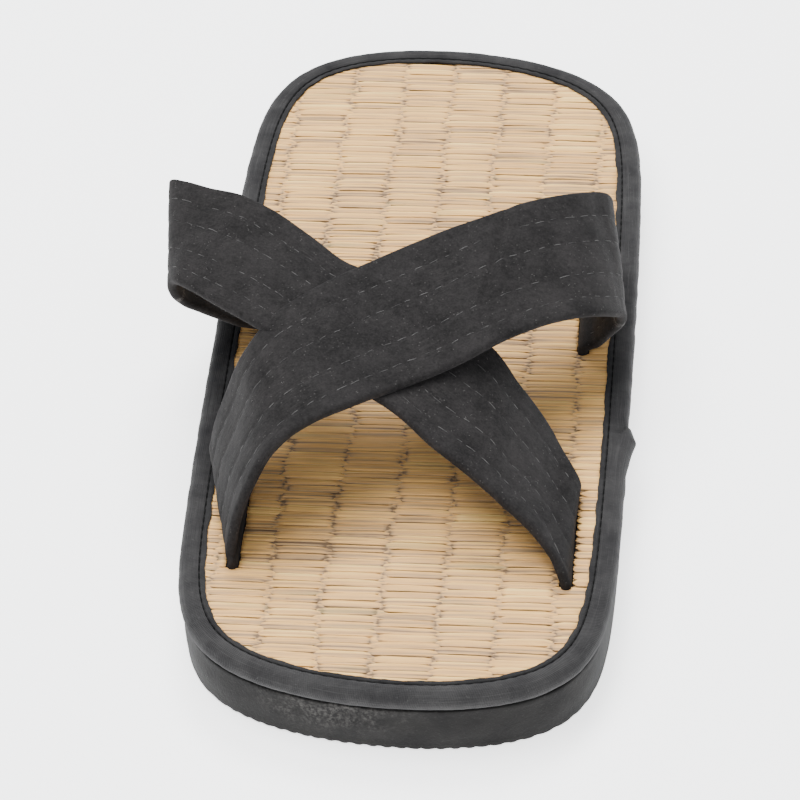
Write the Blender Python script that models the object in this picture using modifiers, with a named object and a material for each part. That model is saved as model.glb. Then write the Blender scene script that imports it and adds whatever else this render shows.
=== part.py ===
import math

import bmesh
import bpy
from mathutils import Vector

# A crossed-strap zori sandal for the right foot, standing on its sole.
# +X is the medial side, the toe points along -Y, and the origin is under the middle of the sole.

# Plan outline, measured over the edge binding
SANDAL_LENGTH = 0.270
SANDAL_WIDTH = 0.112
TOE_SQUARENESS = 10.0
HEEL_SQUARENESS = 8.5
TOE_LEAN = 0.0080
HEEL_LEAN = -0.0080
SIDE_TAPER = 0.04
OUTLINE_STATIONS = 92
OUTLINE_FINE_STEPS = 4000

# Sole, mat and the clearance between pieces
FIT_GAP = 0.0003
SOLE_THICKNESS = 0.0131
SOLE_INSET = 0.0010
SOLE_EDGE_RADIUS = 0.0010
MAT_THICKNESS = 0.0028

# Edge binding, a folded tape whose section is a C
TAPE_THICKNESS = 0.0008
BINDING_WALL = 0.0014
BINDING_WIDTH = 0.0068
ROLL_WIDTH = 0.0054
ROLL_STEPS = 8
ROLL_ROUNDNESS = 0.8
GROOVE_WIDTH = 0.0009
GROOVE_DEPTH = 0.0004
LAP_HEIGHT = 0.0019
LAP_STEP_ALONG = -0.0275
LAP_STEP_LENGTH = 0.0085
LAP_TAIL_LENGTH = 0.0130
LAP_SHARPNESS = 1.5

# Straps, and the slits that their legs go through
STRAP_WIDTH = 0.040
STRAP_THICKNESS = 0.0027
STRAP_EDGE_RADIUS = 0.0011
LARGEST_RADIUS_SHARE = 0.9
STRAP_CORNER_STEPS = 2
STRAP_CROWN = 0.037
SLIT_LENGTH = 0.0382
SLIT_ACROSS = 0.0425
TOE_SLIT_ALONG = -0.0730
INSTEP_SLIT_ALONG = 0.0185
SLIT_STAGGER = 0.0022
LATERAL_SLIT_INSET = 0.0015
LEG_RISE = 0.0008
STEPS_PER_ROW = 3

# Each row is one section of a strap, from its toe leg to its instep leg.
# across is a share of SLIT_ACROSS, along is a share of the way from the toe slits to the instep
# slits, up is a share of STRAP_CROWN above the mat, and broad is a share of STRAP_WIDTH.
# swing turns the section's rear end to the lateral side and tilt raises it, both in degrees.
STRAP_COLUMNS = ("across", "along", "up", "swing", "tilt", "broad")

TOP_STRAP_ROWS = (
    (-1.055, 0.030, 0.125, 11.5, 2.0, 0.95),
    (-1.045, 0.060, 0.268, 13.0, -2.0, 0.98),
    (-0.953, 0.109, 0.558, 13.0, -1.0, 1.00),
    (-0.836, 0.155, 0.800, 16.5, 1.0, 0.95),
    (-0.660, 0.233, 0.916, 20.0, 4.5, 0.98),
    (-0.450, 0.320, 0.928, 21.0, 8.0, 1.02),
    (-0.235, 0.406, 0.915, 21.0, 9.5, 1.04),
    (-0.015, 0.475, 0.920, 21.0, 10.5, 1.05),
    (0.210, 0.542, 0.945, 21.0, 10.5, 1.04),
    (0.430, 0.606, 0.980, 20.5, 11.0, 1.00),
    (0.650, 0.667, 0.990, 20.0, 11.5, 0.99),
    (0.868, 0.731, 0.955, 18.0, 12.5, 1.00),
    (1.043, 0.792, 0.878, 13.5, 15.0, 1.00),
    (1.133, 0.844, 0.786, 10.5, 15.5, 1.01),
    (1.178, 0.878, 0.710, 8.7, 15.7, 1.00),
    (1.191, 0.894, 0.651, 8.1, 15.7, 1.00),
    (1.186, 0.911, 0.576, 7.5, 15.0, 1.00),
    (1.125, 0.939, 0.361, 5.3, 9.0, 1.00),
    (1.065, 0.965, 0.148, 3.0, 2.0, 0.97),
)

UNDER_STRAP_ROWS = (
    (1.000, -0.028, 0.090, -3.0, 0.0, 0.88),
    (0.859, 0.074, 0.240, -1.2, 0.5, 0.99),
    (0.661, 0.151, 0.435, -2.4, 3.0, 1.05),
    (0.461, 0.223, 0.595, -4.8, 6.0, 1.09),
    (0.241, 0.278, 0.718, -5.0, 7.2, 1.05),
    (0.026, 0.352, 0.796, -3.5, 7.8, 1.01),
    (-0.214, 0.425, 0.855, -3.0, 6.4, 1.01),
    (-0.466, 0.498, 0.892, -1.5, 2.6, 1.00),
    (-0.697, 0.566, 0.962, -2.9, 2.5, 1.04),
    (-0.925, 0.638, 1.013, -3.3, 4.1, 1.05),
    (-1.166, 0.705, 1.039, -2.1, 4.3, 1.03),
    (-1.320, 0.750, 1.026, -0.6, 2.8, 1.00),
    (-1.463, 0.800, 0.988, 3.5, 3.1, 1.01),
    (-1.513, 0.830, 0.938, 5.5, 4.7, 1.01),
    (-1.522, 0.844, 0.889, 5.5, 6.5, 1.01),
    (-1.521, 0.857, 0.800, 6.2, 6.7, 1.01),
    (-1.472, 0.887, 0.638, 6.0, 4.0, 1.01),
    (-1.348, 0.927, 0.451, 4.6, 0.6, 1.00),
    (-1.166, 0.987, 0.222, 2.5, 0.2, 0.99),
)

# Heights that follow from the sizes above
BINDING_HEIGHT = MAT_THICKNESS + 2 * FIT_GAP + 2 * TAPE_THICKNESS
REBATE_DEPTH = TAPE_THICKNESS + FIT_GAP
BINDING_BOTTOM = SOLE_THICKNESS + FIT_GAP
MAT_BOTTOM = BINDING_BOTTOM + TAPE_THICKNESS + FIT_GAP
MAT_TOP = MAT_BOTTOM + MAT_THICKNESS

# An upward face has at least this much of its normal along Z, and closer corners are one corner
LEVEL = 0.9
WELD_DISTANCE = 0.00001


def clear_scene():
    for item in list(bpy.data.objects):
        bpy.data.objects.remove(item, do_unlink=True)


def make_collection(name):
    collection = bpy.data.collections.new(name)
    bpy.context.scene.collection.children.link(collection)
    return collection


def make_material(name, colour, roughness, metallic=0.0):
    material = bpy.data.materials.new(name)
    material.use_nodes = True
    shader = material.node_tree.nodes["Principled BSDF"]
    shader.inputs["Base Color"].default_value = (*colour, 1.0)
    shader.inputs["Roughness"].default_value = roughness
    shader.inputs["Metallic"].default_value = metallic
    return material


def last_point(turn):
    """Point of the plan outline at a share of a whole turn, from the medial waist to the heel."""
    angle = 2 * math.pi * turn
    heelwards = math.sin(angle) > 0
    squareness = HEEL_SQUARENESS if heelwards else TOE_SQUARENESS
    lean = HEEL_LEAN if heelwards else TOE_LEAN
    reach = abs(math.sin(angle)) ** (2 / squareness)
    narrowing = 1 - SIDE_TAPER * reach ** 2
    across = SANDAL_WIDTH / 2 * narrowing * math.cos(angle) + lean * reach ** squareness
    along = math.copysign(SANDAL_LENGTH / 2 * reach, math.sin(angle))
    return Vector((across, along))


def outline(inset=0.0):
    """Plan outline at an inset, as evenly spaced points with their inward directions."""
    fine = [last_point((step + 0.5) / OUTLINE_FINE_STEPS) for step in range(OUTLINE_FINE_STEPS)]
    lengths = [0.0]
    for start, end in zip(fine, fine[1:] + fine[:1]):
        lengths.append(lengths[-1] + (end - start).length)
    points = []
    place = 0
    for station in range(OUTLINE_STATIONS):
        wanted = lengths[-1] * station / OUTLINE_STATIONS
        while lengths[place + 1] < wanted:
            place += 1
        start, end = fine[place], fine[(place + 1) % len(fine)]
        share = (wanted - lengths[place]) / (lengths[place + 1] - lengths[place])
        points.append(start.lerp(end, share))
    result = []
    for station, point in enumerate(points):
        ahead = points[(station + 1) % OUTLINE_STATIONS]
        tangent = (ahead - points[station - 1]).normalized()
        inward = Vector((-tangent.y, tangent.x))
        result.append((point + inward * inset, inward))
    return result


def mesh_object(name, mesh, collection, material=None):
    item = bpy.data.objects.new(name, mesh)
    collection.objects.link(item)
    if material:
        item.data.materials.append(material)
    return item


def slab(name, inset, bottom, top, collection, material):
    """Flat slab with the sandal's outline, from a filled 2D curve made into a mesh."""
    curve = bpy.data.curves.new(name + "_outline", "CURVE")
    curve.dimensions = "2D"
    curve.fill_mode = "BOTH"
    curve.extrude = (top - bottom) / 2
    spline = curve.splines.new("POLY")
    ring = outline(inset)
    spline.points.add(len(ring) - 1)
    for corner, (point, inward) in zip(spline.points, ring):
        corner.co = (point.x, point.y, 0.0, 1.0)
    spline.use_cyclic_u = True
    guide = mesh_object(name + "_curve", curve, collection)
    guide.location.z = (top + bottom) / 2
    bpy.context.view_layer.update()
    evaluated = guide.evaluated_get(bpy.context.evaluated_depsgraph_get())
    mesh = bpy.data.meshes.new_from_object(evaluated)
    mesh.transform(guide.matrix_world)
    bpy.data.objects.remove(guide, do_unlink=True)
    edit = bmesh.new()
    edit.from_mesh(mesh)
    bmesh.ops.remove_doubles(edit, verts=edit.verts, dist=WELD_DISTANCE)
    bmesh.ops.recalc_face_normals(edit, faces=edit.faces)
    level = {face for face in edit.faces if abs(face.normal.z) > LEVEL}
    inner = [edge for edge in edit.edges if set(edge.link_faces) <= level]
    bmesh.ops.dissolve_edges(edit, edges=inner, use_verts=False)
    edit.to_mesh(mesh)
    edit.free()
    return mesh_object(name, mesh, collection, material)


def loft(name, sections, collection, material, closed):
    """Solid through sections of equally many points, closed into a ring or capped at both ends."""
    edit = bmesh.new()
    rings = [[edit.verts.new(point) for point in section] for section in sections]
    pairs = list(zip(rings, rings[1:]))
    if closed:
        pairs.append((rings[-1], rings[0]))
    for near, far in pairs:
        count = len(near)
        for corner in range(count):
            following = (corner + 1) % count
            edit.faces.new((near[corner], near[following], far[following], far[corner]))
    if not closed:
        edit.faces.new(rings[0])
        edit.faces.new(list(reversed(rings[-1])))
    bmesh.ops.recalc_face_normals(edit, faces=edit.faces)
    mesh = bpy.data.meshes.new(name)
    edit.to_mesh(mesh)
    edit.free()
    return mesh_object(name, mesh, collection, material)


def add_boolean(item, tool, operation):
    modifier = item.modifiers.new(operation.title(), "BOOLEAN")
    modifier.operation = operation
    modifier.object = tool
    modifier.solver = "EXACT"


def smooth(item, angle=40):
    item.data.shade_smooth()
    item.data.set_sharp_from_angle(angle=math.radians(angle))


def make_sole(collection, material):
    """Foam slab, with a raised middle under the mat and a rebate round it for the binding."""
    sole = slab("sole", SOLE_INSET, 0.0, SOLE_THICKNESS, collection, material)
    edit = bmesh.new()
    edit.from_mesh(sole.data)
    top = [face for face in edit.faces if face.normal.z > LEVEL]
    rebate_width = BINDING_WIDTH - SOLE_INSET + FIT_GAP
    bmesh.ops.inset_region(edit, faces=top, thickness=rebate_width, use_even_offset=True)
    raised = bmesh.ops.extrude_face_region(edit, geom=top)["geom"]
    for corner in [part for part in raised if isinstance(part, bmesh.types.BMVert)]:
        corner.co.z += REBATE_DEPTH
    bmesh.ops.delete(edit, geom=top, context="FACES")
    bmesh.ops.recalc_face_normals(edit, faces=edit.faces)
    edit.to_mesh(sole.data)
    edit.free()
    bevel = sole.modifiers.new("Edge rounding", "BEVEL")
    bevel.width = SOLE_EDGE_RADIUS
    bevel.segments = 2
    bevel.limit_method = "WEIGHT"
    weights = sole.data.attributes.new("bevel_weight_edge", "FLOAT", "EDGE")
    for edge in sole.data.edges:
        heights = [sole.data.vertices[corner].co.z for corner in edge.vertices]
        weights.data[edge.index].value = 1.0 if max(heights) < SOLE_THICKNESS / 2 else 0.0
    smooth(sole)
    return sole


def slit_place(side, along):
    """Middle of a slit: side is 1 at the medial slits, which lie further to the toe, and -1 at the others."""
    inset = LATERAL_SLIT_INSET if side < 0 else 0.0
    return side * (SLIT_ACROSS - inset), along - side * SLIT_STAGGER


def make_mat(collection, cutters, material):
    """Rush mat on its board, with four lengthwise slits for the strap legs."""
    inset = BINDING_WALL + FIT_GAP
    mat = slab("insole_mat", inset, MAT_BOTTOM, MAT_TOP, collection, material)
    slit_width = STRAP_THICKNESS + 2 * FIT_GAP
    for along in (TOE_SLIT_ALONG, INSTEP_SLIT_ALONG):
        for side in (-1, 1):
            bpy.ops.mesh.primitive_cube_add(size=1.0)
            cutter = bpy.context.object
            cutter.name = "slit_cutter"
            cutter.scale = (slit_width, SLIT_LENGTH, 3 * MAT_THICKNESS)
            cutter.location = (*slit_place(side, along), (MAT_TOP + MAT_BOTTOM) / 2)
            for holder in list(cutter.users_collection):
                holder.objects.unlink(cutter)
            cutters.objects.link(cutter)
            hide_guide(cutter)
            add_boolean(mat, cutter, "DIFFERENCE")
    return mat


def hide_guide(item):
    item.hide_render = True
    item.display_type = "WIRE"


def lap_share(point):
    """How much of the tape's overlap step shows at a point of the outline, from 0 to 1."""
    if point.x < 0:
        return 0.0
    past = LAP_STEP_ALONG - point.y
    if past < 0:
        return 0.0
    if past < LAP_STEP_LENGTH:
        return (past / LAP_STEP_LENGTH) ** LAP_SHARPNESS
    fade = min((past - LAP_STEP_LENGTH) / LAP_TAIL_LENGTH, 1.0)
    return (1.0 - fade) ** LAP_SHARPNESS


def binding_profile():
    """C section of the binding as (inward, up) pairs, with True where the lap pushes it out."""
    height = BINDING_HEIGHT
    profile = [(BINDING_WIDTH, 0.0, False)]
    for step in range(ROLL_STEPS + 1):
        angle = math.pi * step / ROLL_STEPS
        inward = ROLL_WIDTH / 2 * (1 - math.sin(angle) ** ROLL_ROUNDNESS)
        up = height / 2 * (1 - math.cos(angle))
        profile.append((inward, up, True))
    groove_top = height - GROOVE_DEPTH
    groove_middle = ROLL_WIDTH - GROOVE_WIDTH / 2
    flange_top = height - GROOVE_DEPTH / 2
    profile.append((groove_middle - GROOVE_WIDTH / 2, height - GROOVE_DEPTH / 4, False))
    profile.append((groove_middle, groove_top, False))
    profile.append((groove_middle + GROOVE_WIDTH / 2, flange_top, False))
    profile.append((BINDING_WIDTH, flange_top, False))
    profile.append((BINDING_WIDTH, height - TAPE_THICKNESS, False))
    profile.append((BINDING_WALL, height - TAPE_THICKNESS, False))
    profile.append((BINDING_WALL, TAPE_THICKNESS, False))
    profile.append((BINDING_WIDTH, TAPE_THICKNESS, False))
    return profile


def make_binding(collection, material):
    """Tape ring round the mat's edge, stepped where its ends overlap at the medial waist."""
    sections = []
    for point, inward in outline():
        push = LAP_HEIGHT * lap_share(point)
        section = []
        for depth, up, outer in binding_profile():
            place = point + inward * (depth - (push if outer else 0.0) * (1 - depth / ROLL_WIDTH))
            section.append((place.x, place.y, BINDING_BOTTOM + up))
        sections.append(section)
    binding = loft("edge_binding", sections, collection, material, closed=True)
    smooth(binding)
    return binding


def strap_row(across, along, up, swing, tilt, broad):
    """One section's middle, its turn and its breadth, in metres and degrees."""
    return (
        across * SLIT_ACROSS,
        TOE_SLIT_ALONG + along * (INSTEP_SLIT_ALONG - TOE_SLIT_ALONG),
        MAT_TOP + up * STRAP_CROWN,
        swing,
        tilt,
        broad * STRAP_WIDTH,
    )


def strap_path(rows, toe_side):
    """Rows of a whole strap with its legs, from the toe slit to the slit on the other side."""
    leg_breadth = SLIT_LENGTH - 2 * FIT_GAP
    upright = (MAT_TOP + LEG_RISE, 0.0, 0.0, leg_breadth)
    foot = slit_place(toe_side, TOE_SLIT_ALONG) + upright
    end = slit_place(-toe_side, INSTEP_SLIT_ALONG) + upright
    named = [dict(zip(STRAP_COLUMNS, row)) for row in rows]
    return [foot] + [strap_row(**row) for row in named] + [end]


def smooth_rows(rows):
    """Rows with more between them on one smooth curve that leaves and meets the mat upright."""
    places = [Vector(row[:3]) for row in rows]
    ways = [0.0]
    for start, end in zip(places, places[1:]):
        ways.append(ways[-1] + (end - start).length)
    slopes = []
    for index in range(1, len(rows) - 1):
        before = ways[index] - ways[index - 1]
        after = ways[index + 1] - ways[index]
        slope = []
        for earlier, here, later in zip(rows[index - 1], rows[index], rows[index + 1]):
            rising = (here - earlier) / before
            leaving = (later - here) / after
            slope.append((rising * after + leaving * before) / (before + after))
        slopes.append(slope)
    upright = [0.0, 0.0, 1.0, 0.0, 0.0, 0.0]
    slopes = [upright] + slopes + [[-value for value in upright]]
    result = []
    for index in range(len(rows) - 1):
        span = ways[index + 1] - ways[index]
        for step in range(STEPS_PER_ROW):
            share = step / STEPS_PER_ROW
            weights = hermite(share, span)
            parts = zip(rows[index], slopes[index], rows[index + 1], slopes[index + 1])
            result.append([sum(w * v for w, v in zip(weights, part)) for part in parts])
    result.append(list(rows[-1]))
    return result


def hermite(share, span):
    """Weights of start, start slope, end and end slope at a share of a span."""
    square = share * share
    cube = square * share
    return (
        2 * cube - 3 * square + 1,
        (cube - 2 * square + share) * span,
        3 * square - 2 * cube,
        (cube - square) * span,
    )


def strap_profile():
    """Rounded rectangle of a strap's section as (side, inset, height) of half sizes."""
    half = STRAP_THICKNESS / 2
    radius = min(STRAP_EDGE_RADIUS, LARGEST_RADIUS_SHARE * half)
    profile = []
    for side, face in ((1, -1), (1, 1), (-1, 1), (-1, -1)):
        start = math.atan2(face, side) - math.pi / 4
        for step in range(STRAP_CORNER_STEPS + 1):
            angle = start + math.pi / 2 * step / STRAP_CORNER_STEPS
            inset = radius * (1 - abs(math.cos(angle)))
            height = face * (half - radius) + radius * math.sin(angle)
            profile.append((side, inset, height))
    return profile


def strap_sections(rows, toe_side):
    """Sections of a strap, with straight legs below the mat's top."""
    path = smooth_rows(strap_path(rows, toe_side))
    leg_end = MAT_BOTTOM
    first = list(path[0])
    last = list(path[-1])
    first[2] = leg_end
    last[2] = leg_end
    path = [first] + path + [last]
    middles = [Vector(row[:3]) for row in path]
    sections = []
    for index, row in enumerate(path):
        ahead = middles[min(index + 1, len(path) - 1)]
        behind = middles[max(index - 1, 0)]
        tangent = (ahead - behind).normalized()
        if index in (0, 1):
            tangent = Vector((0.0, 0.0, 1.0))
        if index in (len(path) - 2, len(path) - 1):
            tangent = Vector((0.0, 0.0, -1.0))
        swing = math.radians(row[3])
        tilt = math.radians(row[4])
        flat = math.cos(tilt)
        ruling = Vector((-math.sin(swing) * flat, math.cos(swing) * flat, math.sin(tilt)))
        outward = tangent.cross(ruling).normalized() * -toe_side
        section = []
        for side, inset, height in strap_profile():
            reach = side * (row[5] / 2 - inset)
            section.append(middles[index] + ruling * reach + outward * height)
        sections.append(section)
    return sections


def make_upper(collection, cutters, material):
    """Two wide straps with their legs in the slits, joined where one crosses the other."""
    top = strap_sections(TOP_STRAP_ROWS, -1)
    under = strap_sections(UNDER_STRAP_ROWS, 1)
    upper = loft("upper", top, collection, material, closed=False)
    crossing = loft("under_strap", under, cutters, None, closed=False)
    hide_guide(crossing)
    add_boolean(upper, crossing, "UNION")
    smooth(upper)
    return upper


def main():
    clear_scene()
    sandal = make_collection("zori_sandal")
    cutters = make_collection("cutters")
    foam = make_material("black_foam", (0.018, 0.017, 0.017), 0.85)
    rush = make_material("woven_rush", (0.62, 0.50, 0.33), 0.7)
    tape = make_material("binding_tape", (0.035, 0.034, 0.034), 0.8)
    cloth = make_material("strap_cloth", (0.030, 0.028, 0.029), 0.9)
    make_sole(sandal, foam)
    make_mat(sandal, cutters, rush)
    make_binding(sandal, tape)
    make_upper(sandal, cutters, cloth)


main()
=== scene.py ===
import math

import bmesh
import bpy
import numpy as np
from mathutils import Matrix, Vector


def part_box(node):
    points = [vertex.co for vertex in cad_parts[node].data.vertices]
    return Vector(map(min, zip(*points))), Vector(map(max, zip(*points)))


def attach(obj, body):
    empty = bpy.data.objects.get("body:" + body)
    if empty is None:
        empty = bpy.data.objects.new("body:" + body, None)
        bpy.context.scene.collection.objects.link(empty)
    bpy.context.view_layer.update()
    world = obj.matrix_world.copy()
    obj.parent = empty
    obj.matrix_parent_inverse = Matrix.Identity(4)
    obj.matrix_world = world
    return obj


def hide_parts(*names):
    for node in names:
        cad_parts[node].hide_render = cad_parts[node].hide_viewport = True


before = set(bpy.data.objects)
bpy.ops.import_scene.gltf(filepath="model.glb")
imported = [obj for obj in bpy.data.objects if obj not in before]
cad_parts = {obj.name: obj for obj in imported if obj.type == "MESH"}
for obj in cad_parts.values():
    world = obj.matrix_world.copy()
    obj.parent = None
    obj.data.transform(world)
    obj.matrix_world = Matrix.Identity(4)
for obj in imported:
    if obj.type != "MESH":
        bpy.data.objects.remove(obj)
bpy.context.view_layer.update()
print("frame loaded:", ", ".join(sorted(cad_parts)))

mm = 0.001

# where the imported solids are, so that every piece sits on what carries it
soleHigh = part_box("sole")[1]
matLow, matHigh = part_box("insole_mat")
bindLow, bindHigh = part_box("edge_binding")

# the plan of the last, measured over the edge binding
last = {
    "length": bindHigh.y - bindLow.y,
    "width": 112 * mm,
    "toeSquareness": 10.0,
    "heelSquareness": 8.5,
    "toeLean": 8 * mm,
    "heelLean": -8 * mm,
    "sideTaper": 0.04,
    "fineSteps": 4000,
}

# the four slits in the mat that the strap legs go through
slits = {
    "length": 38.2 * mm,
    "width": 3.3 * mm,
    "across": 42.5 * mm,
    "toeAlong": -73.0 * mm,
    "instepAlong": 18.5 * mm,
    "stagger": 2.2 * mm,
    "lateralInset": 1.5 * mm,
}


def slitPlace(side, along):  # middle of a slit: side is 1 at the medial slits, which lie further to the toe
    inset = slits["lateralInset"] if side < 0 else 0.0
    return side * (slits["across"] - inset), along - side * slits["stagger"]


class Wire:
    # a socket of a material's tree that can stand in sums
    def __init__(self, tree, socket=None):
        self.tree = tree
        self.socket = socket

    def node(self, kind, settings=None, values=None, out=0):  # any node: settings first, then sockets
        made = self.tree.nodes.new("ShaderNode" + kind)
        for name, value in (settings or {}).items():
            if name == "stops":
                setStops(made.color_ramp.elements, value)
            else:
                setattr(made, name, value)
        for name, value in (values or {}).items():
            if isinstance(value, Wire):
                self.tree.links.new(value.socket, made.inputs[name])
            else:
                made.inputs[name].default_value = value
        return Wire(self.tree, made.outputs[out])

    def maths(self, operation, *values):
        return self.node("Math", {"operation": operation}, dict(enumerate(values)))

    def __add__(self, other):
        return self.maths("ADD", self, other)

    def __radd__(self, other):
        return self.maths("ADD", other, self)

    def __sub__(self, other):
        return self.maths("SUBTRACT", self, other)

    def __rsub__(self, other):
        return self.maths("SUBTRACT", other, self)

    def __mul__(self, other):
        return self.maths("MULTIPLY", self, other)

    def __rmul__(self, other):
        return self.maths("MULTIPLY", other, self)

    def __truediv__(self, other):
        return self.maths("DIVIDE", self, other)

    def __pow__(self, other):
        return self.maths("POWER", self, other)

    def sine(self):
        return self.maths("SINE", self)

    def over(self, low, high):  # 0 below low, 1 above high, soft between them
        settings = {"interpolation_type": "SMOOTHSTEP"}
        return self.node("MapRange", settings, {"Value": self, "From Min": low, "From Max": high})

    def axis(self, name):
        return self.node("SeparateXYZ", None, {"Vector": self}, name)

    def stretched(self, x, y, z):  # a vector with each axis scaled
        return self.node("VectorMath", {"operation": "MULTIPLY"}, {0: self, 1: (x, y, z)})

    def shifted(self, other):
        return self.node("VectorMath", {"operation": "ADD"}, {0: self, 1: other})

    def away(self, place):  # distance of a vector from a place
        return self.node("VectorMath", {"operation": "DISTANCE"}, {0: self, 1: place}, "Value")

    def cloudy(self, scale, detail=3.0, roughness=0.55):
        values = {"Vector": self, "Scale": scale, "Detail": detail, "Roughness": roughness}
        return self.node("TexNoise", None, values)

    def cells(self, scale, out="Distance"):
        return self.node("TexVoronoi", None, {"Vector": self, "Scale": scale}, out)

    def blend(self, first, second, kind="MIX"):  # colours mixed by this mask
        settings = {"data_type": "RGBA", "blend_type": kind}
        return self.node("Mix", settings, {0: self, 6: first, 7: second}, 2)

    def ramp(self, *stops):
        return self.node("ValToRGB", {"stops": stops}, {0: self})

    def bump(self, strength, depth, below=None):
        values = {"Height": self, "Strength": strength, "Distance": depth}
        if below:
            values["Normal"] = below
        return self.node("Bump", None, values)


def setStops(elements, stops):
    while len(elements) < len(stops):
        elements.new(1.0)
    for element, (place, colour) in zip(elements, stops):
        element.position = place
        element.color = colour


def tone(red, green, blue):  # a colour as the eye reads it, 0 to 255, made linear
    linear = []
    for value in (red, green, blue):
        share = value / 255
        linear.append(share / 12.92 if share <= 0.04045 else ((share + 0.055) / 1.055) ** 2.4)
    return (*linear, 1.0)


def newMaterial(name):  # a material, a wire to start from and its shader's sockets
    material = bpy.data.materials.new(name)
    material.use_nodes = True
    tree = material.node_tree
    return material, Wire(tree), tree.nodes["Principled BSDF"].inputs


def plug(inputs, values):
    for name, value in values.items():
        if isinstance(value, Wire):
            value.tree.links.new(value.socket, inputs[name])
        else:
            inputs[name].default_value = value


def foamMaterial(look):
    material, start, inputs = newMaterial("sueded_black_foam")
    place = start.node("TexCoord", out="Object")
    patches = place.cloudy(90, 4, 0.6)
    flecks = place.cloudy(1500, 2, 0.7)
    dustShape = 1 - place.stretched(1, 1, 2.6).away(look["dustAt"]).over(0.0, look["dustSize"])
    dust = dustShape * place.cloudy(1100, 5, 0.75).over(0.40, 0.62) * place.cloudy(260, 3, 0.6).over(0.30, 0.60)
    colour = patches.ramp((0.32, look["dark"]), (0.68, look["light"]))
    colour = (dust + flecks.over(0.58, 0.72) * 0.15).blend(colour, look["dust"])
    grain = place.cloudy(900, 3, 0.65).bump(0.5, 0.25 * mm)
    nap = place.cells(2600).bump(0.35, 0.12 * mm, grain)
    plug(inputs, {
        "Base Color": colour,
        "Roughness": 0.86 + patches * 0.1,
        "Normal": nap,
        "Sheen Weight": 0.08,
        "Sheen Roughness": 0.5,
        "Specular IOR Level": 0.15,
    })
    return material


def rushMaterial(look):
    material, start, inputs = newMaterial("woven_rush")
    place = start.node("TexCoord", out="Object")
    strand = start.node("Attribute", {"attribute_name": "strand"}, out="Fac")
    # the strand's random tone together with painted light and shade from the weave
    shade = start.node("Attribute", {"attribute_name": "shade"}, out="Fac")
    offset = start.node("CombineXYZ", None, {"X": strand * 7.0, "Y": strand * 3.0, "Z": strand})
    stems = place.stretched(18, 1500, 1500).shifted(offset).cloudy(1.0, 3, 0.6)
    streaks = place.stretched(26, 900, 900).shifted(offset).cloudy(1.0, 5, 0.65)
    blotches = place.stretched(45, 80, 60).cloudy(1.0, 3, 0.5)
    mix = shade + (streaks - 0.5) * 0.6 + (stems - 0.5) * 1.0 + (blotches - 0.5) * 0.45
    colour = mix.ramp(*look["stops"])
    green = place.stretched(30, 120, 30).shifted(offset).cloudy(1.0, 2, 0.5).over(0.60, 0.74)
    colour = (green * 0.3).blend(colour, look["green"])
    spots = place.stretched(200, 700, 200).shifted(offset).cloudy(1.0, 3, 0.6).over(0.70, 0.78)
    colour = (spots * 0.5).blend(colour, look["spot"])
    fibres = place.stretched(160, 4200, 4200).shifted(offset).cloudy(1.0, 3, 0.6)
    ridges = stems.bump(1.0, 0.50 * mm)
    plug(inputs, {
        "Base Color": colour,
        "Roughness": 0.40 + streaks * 0.3,
        "Normal": fibres.bump(0.5, 0.10 * mm, ridges),
        "Specular IOR Level": 0.35,
    })
    return material


def boardMaterial(look):
    material, start, inputs = newMaterial("mat_board")
    place = start.node("TexCoord", out="Object")
    fibres = place.stretched(300, 900, 900).cloudy(1.0, 4, 0.6)
    colour = fibres.ramp((0.3, look["dark"]), (0.7, look["light"]))
    plug(inputs, {
        "Base Color": colour,
        "Roughness": 0.9,
        "Normal": fibres.bump(0.4, 0.2 * mm),
    })
    return material


def tapeMaterial(look):
    material, start, inputs = newMaterial("ribbed_tape")
    flat = start.node("TexCoord", out="UV")
    place = start.node("TexCoord", out="Object")
    wander = place.cloudy(260, 2, 0.5) - 0.5
    ribs = ((flat.axis("X") + flat.axis("Y") * look["slant"]) * (2 * math.pi / look["rib"]) + wander * 1.6).sine()
    yarn = (flat.axis("Y") * (2 * math.pi / look["yarn"]) + wander * 2.0).sine()
    worn = place.cloudy(150, 4, 0.6)
    lint = place.cloudy(1400, 3, 0.75)
    patchy = place.cloudy(500, 3, 0.6)
    colour = worn.ramp((0.30, look["dark"]), (0.70, look["light"]))
    # painted shade in the valleys between the ribs
    colour = ((1 - ribs).over(0.6, 1.9) * patchy * 0.3).blend(colour, look["ribValleyShade"])
    colour = (lint.over(0.60, 0.75) * 0.3).blend(colour, look["lint"])
    streaks = flat.stretched(45, 2000, 1).cloudy(1.0, 3, 0.6)
    colour = (streaks.over(0.52, 0.70) * 0.14).blend(colour, look["lint"])
    # painted shade: darkest in the stitch groove, lighter on the flange beyond it and in the lap's crease
    flange = start.node("Attribute", {"attribute_name": "flange"}, out="Fac")
    colour = (flange * 0.9).blend(colour, look["flange"])
    toeEnd = 1 - place.axis("Y").over(-115 * mm, -75 * mm)
    weave = (ribs * patchy * (0.2 + toeEnd * 0.7) + yarn * 0.25 + streaks * 0.2).bump(0.5, 0.14 * mm)
    fuzz = place.cloudy(2600, 2, 0.7).bump(0.3, 0.10 * mm, weave)
    plug(inputs, {
        "Base Color": colour,
        "Roughness": 0.8 + lint * 0.15,
        "Normal": fuzz,
        "Sheen Weight": 0.08,
        "Sheen Roughness": 0.5,
        "Specular IOR Level": 0.12,
    })
    return material


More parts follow.
